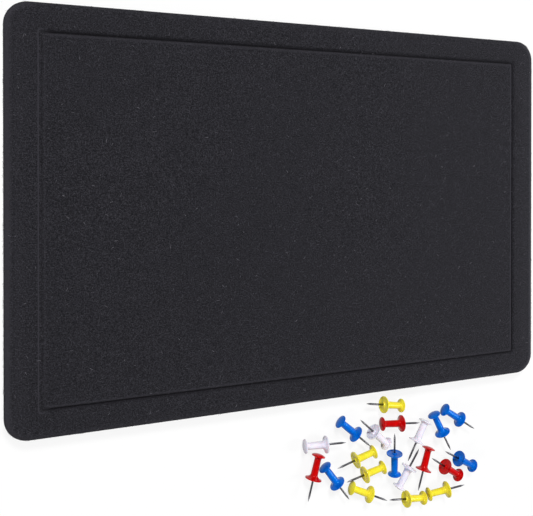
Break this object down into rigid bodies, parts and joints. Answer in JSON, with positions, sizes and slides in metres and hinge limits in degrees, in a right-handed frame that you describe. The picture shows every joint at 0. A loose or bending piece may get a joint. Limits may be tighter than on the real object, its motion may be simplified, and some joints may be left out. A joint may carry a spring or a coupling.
{
  "type": "felt bulletin board",
  "caption": "Flat rectangular felt bulletin board with rounded corners and a pressed frame line, adhesive strips on its back, and loose coloured push pins lying beside it.",
  "frame": {"origin": "middle of the board's back, on the paper of the middle fixing strip, at the height of the surface that the board and the pins lie on", "axes": "+X along the board's long side, +Y towards its upper long edge, +Z out of the felt face; the loose pins lie past the lower edge, at -Y"},
  "size_m": [0.3, 0.2695, 0.0092],
  "materials": {
    "felt": "black needled felt, pressed",
    "core": "dense pressed fibre board",
    "adhesive": "white foam tape, sticky on both faces",
    "paper": "smooth release paper",
    "yellow_plastic": "moulded polystyrene, glossy",
    "red_plastic": "moulded polystyrene, glossy",
    "blue_plastic": "moulded polystyrene, glossy",
    "white_plastic": "moulded polystyrene, glossy, a little translucent",
    "needle_steel": "drawn wire with a ground point"
  },
  "bodies": {
    "board": {"front_felt": "felt", "pin_core": "core", "back_felt": "felt", "adhesive_strip_1": "adhesive", "adhesive_strip_2": "adhesive", "adhesive_strip_3": "adhesive", "strip_paper_1": "paper", "strip_paper_2": "paper", "strip_paper_3": "paper"},
    "yellow_pin_1": {"yellow_pin_1_head": "yellow_plastic", "yellow_pin_1_needle": "needle_steel"},
    "yellow_pin_2": {"yellow_pin_2_head": "yellow_plastic", "yellow_pin_2_needle": "needle_steel"},
    "yellow_pin_3": {"yellow_pin_3_head": "yellow_plastic", "yellow_pin_3_needle": "needle_steel"},
    "yellow_pin_4": {"yellow_pin_4_head": "yellow_plastic", "yellow_pin_4_needle": "needle_steel"},
    "yellow_pin_5": {"yellow_pin_5_head": "yellow_plastic", "yellow_pin_5_needle": "needle_steel"},
    "yellow_pin_6": {"yellow_pin_6_head": "yellow_plastic", "yellow_pin_6_needle": "needle_steel"},
    "red_pin_1": {"red_pin_1_head": "red_plastic", "red_pin_1_needle": "needle_steel"},
    "red_pin_2": {"red_pin_2_head": "red_plastic", "red_pin_2_needle": "needle_steel"},
    "red_pin_3": {"red_pin_3_head": "red_plastic", "red_pin_3_needle": "needle_steel"},
    "red_pin_4": {"red_pin_4_head": "red_plastic", "red_pin_4_needle": "needle_steel"},
    "blue_pin_1": {"blue_pin_1_head": "blue_plastic", "blue_pin_1_needle": "needle_steel"},
    "blue_pin_2": {"blue_pin_2_head": "blue_plastic", "blue_pin_2_needle": "needle_steel"},
    "blue_pin_3": {"blue_pin_3_head": "blue_plastic", "blue_pin_3_needle": "needle_steel"},
    "blue_pin_4": {"blue_pin_4_head": "blue_plastic", "blue_pin_4_needle": "needle_steel"},
    "blue_pin_5": {"blue_pin_5_head": "blue_plastic", "blue_pin_5_needle": "needle_steel"},
    "blue_pin_6": {"blue_pin_6_head": "blue_plastic", "blue_pin_6_needle": "needle_steel"},
    "white_pin_1": {"white_pin_1_head": "white_plastic", "white_pin_1_needle": "needle_steel"},
    "white_pin_2": {"white_pin_2_head": "white_plastic", "white_pin_2_needle": "needle_steel"},
    "white_pin_3": {"white_pin_3_head": "white_plastic", "white_pin_3_needle": "needle_steel"},
    "white_pin_4": {"white_pin_4_head": "white_plastic", "white_pin_4_needle": "needle_steel"}
  },
  "joints": [
    {"name": "yellow_pin_1_lift", "type": "slide", "parent": "board", "child": "yellow_pin_1", "axis": [0, 0, 1], "range_m": [0, 0.05]},
    {"name": "yellow_pin_2_lift", "type": "slide", "parent": "board", "child": "yellow_pin_2", "axis": [0, 0, 1], "range_m": [0, 0.05]},
    {"name": "yellow_pin_3_lift", "type": "slide", "parent": "board", "child": "yellow_pin_3", "axis": [0, 0, 1], "range_m": [0, 0.05]},
    {"name": "yellow_pin_4_lift", "type": "slide", "parent": "board", "child": "yellow_pin_4", "axis": [0, 0, 1], "range_m": [0, 0.05]},
    {"name": "yellow_pin_5_lift", "type": "slide", "parent": "board", "child": "yellow_pin_5", "axis": [0, 0, 1], "range_m": [0, 0.05]},
    {"name": "yellow_pin_6_lift", "type": "slide", "parent": "board", "child": "yellow_pin_6", "axis": [0, 0, 1], "range_m": [0, 0.05]},
    {"name": "red_pin_1_lift", "type": "slide", "parent": "board", "child": "red_pin_1", "axis": [0, 0, 1], "range_m": [0, 0.05]},
    {"name": "red_pin_2_lift", "type": "slide", "parent": "board", "child": "red_pin_2", "axis": [0, 0, 1], "range_m": [0, 0.05]},
    {"name": "red_pin_3_lift", "type": "slide", "parent": "board", "child": "red_pin_3", "axis": [0, 0, 1], "range_m": [0, 0.05]},
    {"name": "red_pin_4_lift", "type": "slide", "parent": "board", "child": "red_pin_4", "axis": [0, 0, 1], "range_m": [0, 0.05]},
    {"name": "blue_pin_1_lift", "type": "slide", "parent": "board", "child": "blue_pin_1", "axis": [0, 0, 1], "range_m": [0, 0.05]},
    {"name": "blue_pin_2_lift", "type": "slide", "parent": "board", "child": "blue_pin_2", "axis": [0, 0, 1], "range_m": [0, 0.05]},
    {"name": "blue_pin_3_lift", "type": "slide", "parent": "board", "child": "blue_pin_3", "axis": [0, 0, 1], "range_m": [0, 0.05]},
    {"name": "blue_pin_4_lift", "type": "slide", "parent": "board", "child": "blue_pin_4", "axis": [0, 0, 1], "range_m": [0, 0.05]},
    {"name": "blue_pin_5_lift", "type": "slide", "parent": "board", "child": "blue_pin_5", "axis": [0, 0, 1], "range_m": [0, 0.05]},
    {"name": "blue_pin_6_lift", "type": "slide", "parent": "board", "child": "blue_pin_6", "axis": [0, 0, 1], "range_m": [0, 0.05]},
    {"name": "white_pin_1_lift", "type": "slide", "parent": "board", "child": "white_pin_1", "axis": [0, 0, 1], "range_m": [0, 0.05]},
    {"name": "white_pin_2_lift", "type": "slide", "parent": "board", "child": "white_pin_2", "axis": [0, 0, 1], "range_m": [0, 0.05]},
    {"name": "white_pin_3_lift", "type": "slide", "parent": "board", "child": "white_pin_3", "axis": [0, 0, 1], "range_m": [0, 0.05]},
    {"name": "white_pin_4_lift", "type": "slide", "parent": "board", "child": "white_pin_4", "axis": [0, 0, 1], "range_m": [0, 0.05]}
  ]
}
